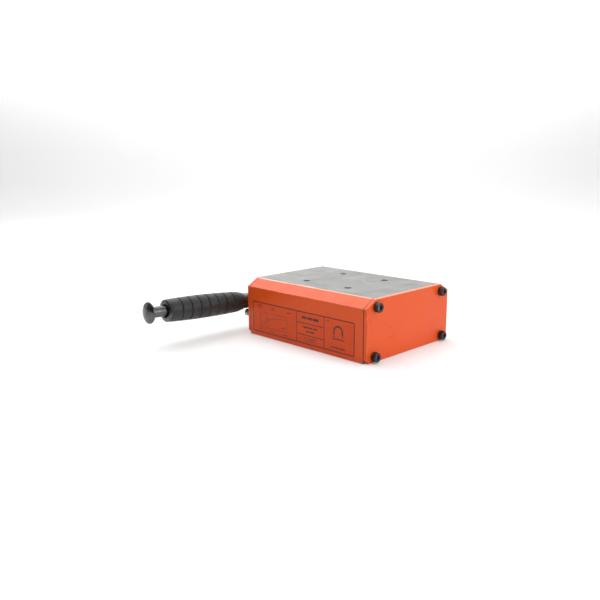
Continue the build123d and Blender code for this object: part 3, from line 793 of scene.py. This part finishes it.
def ribbon(points, width, closed=False):
    """A flat printed line through (x, z) points in millimetres, mitred at its corners."""
    count = len(points)
    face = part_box("rating_label")[0].y / MM
    rings = []
    for i, point in enumerate(points):
        here = Vector(point)
        ahead = Vector(points[(i + 1) % count]) - here if closed or i < count - 1 else None
        behind = here - Vector(points[i - 1]) if closed or i > 0 else None
        ahead = behind if ahead is None else ahead
        behind = ahead if behind is None else behind
        a, b = ahead.normalized(), behind.normalized()
        normal = Vector((-(a.y + b.y), a.x + b.x)).normalized()
        half = width / 2 / max(0.4, abs(normal.dot(Vector((-a.y, a.x)))))
        ring = []
        for s, out in ((half, 0), (-half, 0), (-half, 1), (half, 1)):
            y = face + PRINT_SUNK - PRINT_THICK * out
            ring.append(Vector((here.x + normal.x * s, y, here.y + normal.y * s)) * MM)
        rings.append(ring)
    return lay_rings(rings, closed)


def rounded_frame(x0, z0, x1, z1, corner, steps=6):
    """The points of a rectangle with round corners."""
    points = []
    for cx, cz, turn in ((x1, z1, 0), (x0, z1, 1), (x0, z0, 2), (x1, z0, 3)):
        mx = cx - corner if cx == x1 else cx + corner
        mz = cz - corner if cz == z1 else cz + corner
        for k in range(steps + 1):
            a = (turn + k / steps) * pi / 2
            points.append((mx + corner * cos(a), mz + corner * sin(a)))
    return points


def arc(cx, cz, radius, start, end, steps=20):
    """Points of an arc, angles in degrees."""
    angles = [radians(start + (end - start) * i / steps) for i in range(steps + 1)]
    return [(cx + radius * cos(a), cz + radius * sin(a)) for a in angles]


def label_frame_lines(x0, z0, x1, z1):
    """The outer frame and the cell lines."""
    left, right = x0 + 0.466 * (x1 - x0), x0 + 0.733 * (x1 - x0)
    tall = z1 - z0
    lines = [ribbon(rounded_frame(x0, z0, x1, z1, 1.6), 1.15, closed=True)]
    inner = 0.55
    for x in (left, right):
        lines.append(ribbon([(x, z0 + inner), (x, z1 - inner)], 0.95))
    for level in (0.27, 0.65):
        z = z0 + tall * level
        lines.append(ribbon([(left + inner, z), (right - inner, z)], 0.9))
    return lines, left, right


def chart_lines(x0, z0, x1, z1):
    """A plain chart: a box, a rising curve, ticks and blank captions."""
    bx0, bz0, bx1, bz1 = x0 + 15, z0 + 8, x1 - 18, z1 - 13
    lines = [ribbon([(bx0, bz0), (bx1, bz0), (bx1, bz1), (bx0, bz1)], 0.32, closed=True)]
    curve = []
    for i in range(25):
        t = i / 24
        rise = 1 - exp(-3.2 * t)
        curve.append((bx0 + 3 + t * (bx1 - bx0 - 6), bz0 + 2.5 + (bz1 - bz0 - 6) * rise))
    lines.append(ribbon(curve, 0.45))
    for i in range(9):
        x = bx0 + 2 + i * (bx1 - bx0 - 4) / 8
        lines.append(ribbon([(x, bz0 - 0.4), (x, bz0 - (2.4 if i % 4 == 0 else 1.4))], 0.3))
    for i in range(5):
        z = bz0 + 1.5 + i * (bz1 - bz0 - 3) / 4
        lines.append(ribbon([(bx0 - 0.4, z), (bx0 - (2.2 if i % 2 == 0 else 1.4), z)], 0.3))
    for x, z, length, width in (
        (x0 + 10, z1 - 4.0, 7, 1.2), (x0 + 10, z1 - 6.6, 9, 0.9), (x1 - 19, z1 - 6.5, 8, 0.9),
        (bx0 + 9, bz0 + 12, 6, 0.8), (bx1 - 12, bz0 + 4.5, 8, 0.8), (x0 + 13, z0 + 4.2, 5, 0.8),
        (x0 + 34, z0 + 3.4, 9, 0.8), (x1 - 27, z0 + 3.4, 9, 0.8),
    ):
        lines.append(ribbon([(x, z), (x + length, z)], width))
    ux, uz, r, leg = (bx0 + bx1) / 2 - 1, z1 - 6.0, 1.6, 2.2
    bow = [(ux - r, uz - leg), (ux - r, uz), *arc(ux, uz, r, 180, 0, 10), (ux + r, uz - leg)]
    lines.append(ribbon(bow, 0.6))
    return lines


def caption_bars(x0, z0, x1, z1):
    """Blank bars where a maker would print words."""
    tall = z1 - z0
    middle = (x0 + x1) / 2
    lines = []
    rows = (
        (0.825, 3.4, (8.5, 8.5, 10.0), 1.4),
        (0.525, 1.9, (9.5, 5.5, 7.0), 1.2),
        (0.400, 1.9, (6.0, 7.5), 1.2),
        (0.175, 0.9, (6, 4, 7, 3), 1.0),
        (0.105, 0.9, (5, 6, 3), 1.0),
    )
    for level, width, lengths, gap in rows:
        x, z = middle - (sum(lengths) + gap * (len(lengths) - 1)) / 2, z0 + tall * level
        for length in lengths:
            lines.append(ribbon([(x, z), (x + length, z)], width))
            x += length + gap
    return lines


def magnet_sign(x0, z0, x1, z1):
    """A plain horseshoe magnet over a bar."""
    cx, cz = (x0 + x1) / 2 - 1, z0 + 0.62 * (z1 - z0)
    r, leg = 7.0, 7.0
    bow = [(cx - r, cz - leg + 2.8), *arc(cx, cz, r, 180, 0, 28), (cx + r, cz - leg + 2.8)]
    lines = [ribbon(bow, 2.2)]
    for side in (-1, 1):
        lines.append(ribbon([(cx + side * r, cz - leg + 1.6), (cx + side * r, cz - leg)], 2.2))
    lines.append(ribbon([(cx - 10.5, cz - leg - 2.4), (cx + 10.5, cz - leg - 2.4)], 1.3))
    lines.append(ribbon([(x0 + 4, z1 - 4), (x0 + 8, z1 - 4)], 0.8))
    z = z0 + 0.12 * (z1 - z0)
    for start, length in ((-12, 5.5), (-5.5, 7.5), (3, 8.5)):
        lines.append(ribbon([(cx + start, z), (cx + start + length, z)], 1.5))
    return lines


def label_print(material):
    """All the print on the label, as thin raised ink."""
    low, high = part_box("rating_label")
    x0, x1 = low.x / MM + LABEL_MARGIN, high.x / MM - LABEL_MARGIN
    z0, z1 = low.z / MM + LABEL_MARGIN, high.z / MM - LABEL_MARGIN
    lines, left, right = label_frame_lines(x0, z0, x1, z1)
    lines += chart_lines(x0, z0, left, z1)
    lines += caption_bars(left, z0, right, z1)
    lines += magnet_sign(right, z0, x1, z1)
    piece = join("label_print", lines, material, 40)
    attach(piece, "magnet_block")


# Materials on the CAD nodes


def paint_node(node, *materials, pick=None):
    """Gives a CAD node its materials; pick names one for each face from its middle and normal."""
    mesh = NODES[node].data
    mesh.materials.clear()
    for material in materials:
        mesh.materials.append(material)
    for face in mesh.polygons:
        face.material_index = pick(face.center, face.normal) if pick else 0


def housing_face(middle, normal):
    """0 paint, 1 ground top, 2 cut steel, 3 pole face."""
    inside = abs(middle.y) < HALF_WIDTH - 20 * MM and middle.z < HEIGHT - 16 * MM
    if middle.z < 0.2 * MM and normal.z < -0.5:
        return 3
    if abs(normal.x) > 0.9 or inside:
        return 2
    if normal.z > 0.97:
        return 1
    on_top = abs(middle.y) < HALF_WIDTH - SHOULDER_WIDTH - 2 * MM
    if on_top and middle.z > HEIGHT - 18 * MM:
        return 2
    if normal.z > 0.90 and middle.z > HEIGHT - 0.12 * MM:
        return 1
    return 0


def lever_plate_face(middle, normal):
    """0 paint, 1 ground top, 2 cut steel."""
    if normal.z > 0.97 and middle.z > HEIGHT - 0.2 * MM:
        return 1
    round_hole = hypot(middle.y, middle.z - JOINTS["lever_turn"]["pos_m"][2]) < 15 * MM
    if normal.x > 0.9 or (round_hole and abs(normal.x) < 0.5):
        return 2
    return 0


def plain_plate_face(middle, normal):
    """0 paint, 1 cut steel on the inner side."""
    return 1 if normal.x < -0.9 else 0


def finish_cad():
    """Every CAD node that still shows gets its own material."""
    body_paint = orange_paint("housing_paint", block_planes(0, BODY_END, 0))
    plate_planes = block_planes(BODY_END, HALF_LENGTH, FOOT_CUT)
    plate_paint = orange_paint("end_plate_paint", plate_planes, 0.8, 0.4)
    top = ground_steel("ground_top", (0.262, 0.266, 0.257))
    cut = ground_steel("cut_steel", (0.34, 0.34, 0.335), (240, 240, 240), (0.42, 0.6))
    pole = ground_steel("ground_pole_face", (0.46, 0.465, 0.46), (3, 800, 800), (0.34, 0.5))
    paint_node("housing", body_paint, top, cut, pole, pick=housing_face)
    paint_node("lever_end_plate", plate_paint, top, cut, pick=lever_plate_face)
    paint_node("plain_end_plate", plate_paint, cut, pick=plain_plate_face)
    brass = ground_steel("milled_brass", (0.66, 0.47, 0.20), (3, 600, 600), (0.34, 0.5))
    aluminium = ground_steel("milled_aluminium", (0.66, 0.665, 0.67), (500, 4, 500), (0.36, 0.5))
    bronze = turned_metal("sintered_bronze", (0.50, 0.33, 0.16), (0.20, 0.12, 0.06))
    magnet = plated("nickel_plating", (0.58, 0.56, 0.52))
    black = black_oxide("black_oxide")
    hub = black_oxide("blackened_hub", (0.045, 0.045, 0.046), (0.115, 0.113, 0.112))
    tube = turned_metal("zinc_tube", (0.21, 0.215, 0.215), (0.10, 0.10, 0.10), axis=LEVER_OUT)
    shaft = turned_metal("turned_shaft", (0.48, 0.48, 0.47), (0.18, 0.17, 0.16))
    rod = turned_metal("oiled_rod", (0.14, 0.143, 0.142), (0.06, 0.06, 0.06), axis=LEVER_OUT)
    pin = turned_metal("turned_pin", (0.24, 0.24, 0.238), (0.10, 0.10, 0.10))
    spring_wire = black_oxide("spring_wire", (0.10, 0.10, 0.10), (0.30, 0.30, 0.30))
    rubber = grip_rubber()
    groups = {
        pole: ["front_pole_shoe", "rear_pole_shoe", "front_rotor_pole", "rear_rotor_pole"],
        magnet: ["front_side_magnets", "rear_side_magnets", "rotor_magnets"],
        brass: ["front_edge_seal", "rear_edge_seal", "pole_separator", "rotor_keepers"],
        aluminium: ["front_top_spacer", "rear_top_spacer",
                    "lever_side_bearing_block", "plain_side_bearing_block"],
        bronze: ["lever_side_bush", "plain_side_bush", "thrust_washers"],
        black: ["lever_side_shoe_screws", "plain_side_shoe_screws", "block_tie_screws",
                "lever_side_flush_screws", "rotor_screws", "latch_screw"],
        hub: ["lever_hub", "hub_washer"],
        shaft: ["lever_shaft", "plain_shaft", "hub_key"],
        tube: ["lever_tube"],
        rod: ["push_rod", "spring_seat", "latch_key"],
        pin: ["limit_pins"],
        rubber: ["shaft_seal"],
        label_foil(): ["rating_label"],
    }
    for material, nodes in groups.items():
        for node in nodes:
            paint_node(node, material)
    # The thread steel is far darker than the cut steel: partly oil, partly painted shade inside the tapped holes.
    thread = ground_steel("thread_oil_and_shade", (0.085, 0.070, 0.060), (240, 240, 240), (0.35, 0.5))
    return {"black": black, "rubber": rubber, "thread": thread, "spring": spring_wire}


# Stage, light and camera


# The camera, in degrees and, for its place, in lengths of the block
CAMERA_AZIMUTH, CAMERA_ELEVATION, CAMERA_ROLL = 45.69, 12.10, -0.43
CAMERA_LENS = 39.01
CAMERA_DISTANCE, CAMERA_SIDE, CAMERA_RISE = 4.1836, -0.2917, 0.2260

# The floor and wall, in metres
FLOOR_FRONT, WALL_PLACE, WALL_HEIGHT, WALL_BEND, FLOOR_HALF = -14.0, 3.0, 5.0, 1.2, 14.0
FLOOR_GAP = 0.0002
BEND_STEPS = 16

# The direction that the room's light is brightest from, and its strengths
WORLD_FROM = (-0.35, 0.85, 0.40)
WORLD_DIM, WORLD_BRIGHT = 0.07, 0.68


def studio_backdrop():
    """A floor that curves up into a back wall, behind the object as the camera sees it."""
    bend_start = WALL_PLACE - WALL_BEND
    line = [(FLOOR_FRONT, 0.0), (bend_start, 0.0)]
    for i in range(1, BEND_STEPS + 1):
        a = pi / 2 * i / BEND_STEPS
        line.append((bend_start + WALL_BEND * sin(a), WALL_BEND - WALL_BEND * cos(a)))
    line.append((WALL_PLACE, WALL_HEIGHT))
    turn = Matrix.Rotation(radians(CAMERA_AZIMUTH), 4, "Z")
    points = []
    for y, z in line:
        points += [turn @ Vector((side * FLOOR_HALF, y, z - FLOOR_GAP)) for side in (-1, 1)]
    faces = [(2 * i, 2 * i + 1, 2 * i + 3, 2 * i + 2) for i in range(len(line) - 1)]
    backdrop = mesh_object("studio_backdrop", points, faces, plain_floor(), 60)


def camera():
    """The camera, placed in lengths of the block from the middle of its pole face."""
    a, e, roll = radians(CAMERA_AZIMUTH), radians(CAMERA_ELEVATION), radians(CAMERA_ROLL)
    back = Vector((sin(a) * cos(e), -cos(a) * cos(e), sin(e)))
    right = Vector((cos(a), sin(a), 0))
    up = back.cross(right)
    right, up = right * cos(roll) + up * sin(roll), up * cos(roll) - right * sin(roll)
    place = (back * CAMERA_DISTANCE + right * CAMERA_SIDE + up * CAMERA_RISE) * LENGTH
    data = bpy.data.cameras.new("camera")
    data.lens = CAMERA_LENS
    data.sensor_width = 36
    data.clip_start, data.clip_end = 0.05, 50
    cam = bpy.data.objects.new("camera", data)
    bpy.context.scene.collection.objects.link(cam)
    cam.matrix_world = Matrix.Translation(place) @ Matrix((right, up, back)).transposed().to_4x4()
    bpy.context.scene.camera = cam


def area_light(name, place, size, power, target=(0, 0, 0.04), colour=(1, 1, 1)):
    """A soft rectangular light, turned to its target."""
    data = bpy.data.lights.new(name, "AREA")
    data.shape = "RECTANGLE"
    data.size, data.size_y = size
    data.energy = power
    data.color = colour
    light = bpy.data.objects.new(name, data)
    bpy.context.scene.collection.objects.link(light)
    light.location = place
    facing = Vector(target) - Vector(place)
    light.rotation_euler = facing.to_track_quat("-Z", "Y").to_euler()


def studio_light():
    """Soft light from above, the left and the right, and a strong one on the back wall."""
    area_light("overhead_softbox", (-0.10, -0.15, 1.50), (1.6, 1.2), 16.5)
    area_light("left_top_softbox", (-1.30, 0.35, 1.20), (0.9, 1.2), 7.5, colour=(1.0, 0.94, 0.87))
    area_light("right_softbox", (1.60, 0.45, 0.65), (1.1, 1.1), 11.5)
    area_light("backdrop_light", (-1.2, 1.3, 2.4), (2.5, 0.6), 34, target=(-2.1, 2.1, 1.6))


def studio_world():
    """Even light from all round, brightest from behind the object and above it."""
    world = bpy.data.worlds.new("studio")
    bpy.context.scene.world = world
    world.use_nodes = True
    tree = world.node_tree
    background = tree.nodes["Background"]
    place = tree.nodes.new("ShaderNodeTexCoord").outputs["Generated"]
    facing = tree.nodes.new("ShaderNodeVectorMath")
    facing.operation = "DOT_PRODUCT"
    tree.links.new(place, facing.inputs[0])
    facing.inputs[1].default_value = WORLD_FROM
    ramp = tree.nodes.new("ShaderNodeMapRange")
    tree.links.new(facing.outputs["Value"], ramp.inputs[0])
    for socket, value in zip(list(ramp.inputs)[1:5], (-0.5, 0.5, WORLD_DIM, WORLD_BRIGHT)):
        socket.default_value = value
    tree.links.new(ramp.outputs[0], background.inputs["Strength"])
    background.inputs["Color"].default_value = (1.0, 1.0, 1.0, 1.0)
    bpy.context.scene.view_settings.view_transform = "Standard"


materials = finish_cad()
knob_tints = (0.115, 0.118, 0.117), (0.045, 0.046, 0.046)
ferrule_tints = (0.13, 0.133, 0.132), (0.06, 0.061, 0.061)
knob_steel = turned_metal("satin_knob", *knob_tints, rough=(0.16, 0.24), axis=LEVER_OUT)
ferrule_steel = turned_metal("turned_ferrule", *ferrule_tints, axis=LEVER_OUT)
grip(materials["rubber"])
ferrule(ferrule_steel)
knob(knob_steel)
spring(materials["spring"])
end_screws(materials["black"])
end_washers(materials["black"])
hub_cap_screw(materials["black"])
bracket_threads(materials["thread"])
label_print(label_ink())
studio_backdrop()
studio_light()
studio_world()
camera()
